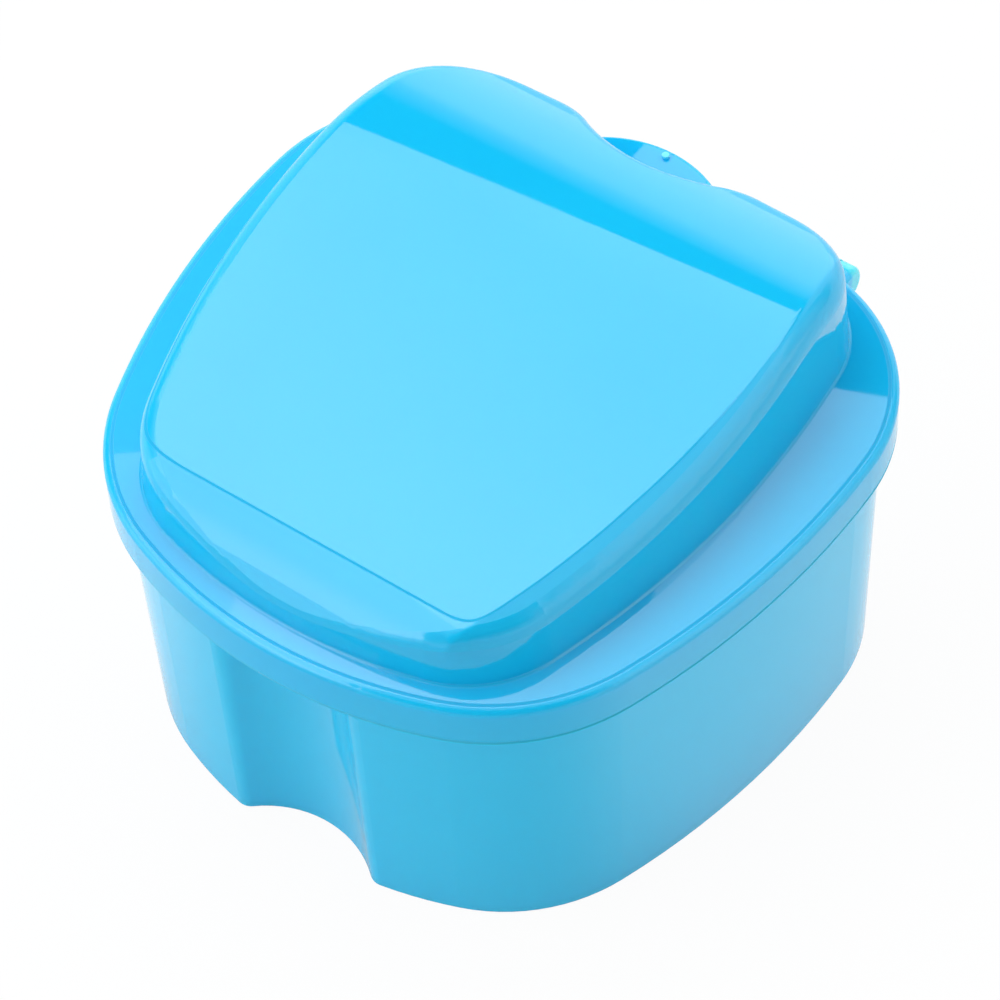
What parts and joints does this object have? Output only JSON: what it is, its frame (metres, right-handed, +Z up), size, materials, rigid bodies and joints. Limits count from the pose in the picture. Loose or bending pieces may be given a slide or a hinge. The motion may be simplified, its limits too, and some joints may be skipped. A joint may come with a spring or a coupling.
{
  "type": "denture case",
  "caption": "Hinged denture case: a drafted tub with a thumb groove, a one-piece domed lid that turns on stub pins, and a lift-out strainer basket with finger tabs.",
  "frame": {"origin": "on the tub's flat underside, in the middle of the tub's width and of the lid's front-to-back depth", "axes": "+Z up, +Y towards the hinge at the back, +X to the right when the thumb groove at the front faces the viewer; the hinge's parts reach past the lid's back edge, which makes Y the longest way"},
  "size_m": [0.085, 0.0878, 0.0592],
  "materials": {
    "tub_plastic": "glossy moulded polypropylene, light blue",
    "lid_plastic": "glossy moulded polypropylene, sky blue",
    "basket_plastic": "satin moulded polypropylene, white"
  },
  "bodies": {
    "tub": {"tub": "tub_plastic"},
    "lid": {"lid": "lid_plastic"},
    "basket": {"strainer_basket": "basket_plastic"}
  },
  "joints": [
    {"name": "lid_hinge", "type": "hinge", "parent": "tub", "child": "lid", "pos_m": [0, 0.0431, 0.0374], "axis": [-1, 0, 0], "range_deg": [0, 110]},
    {"name": "basket_lift", "type": "slide", "parent": "tub", "child": "basket", "axis": [0, 0, 1], "range_m": [0, 0.005]}
  ]
}
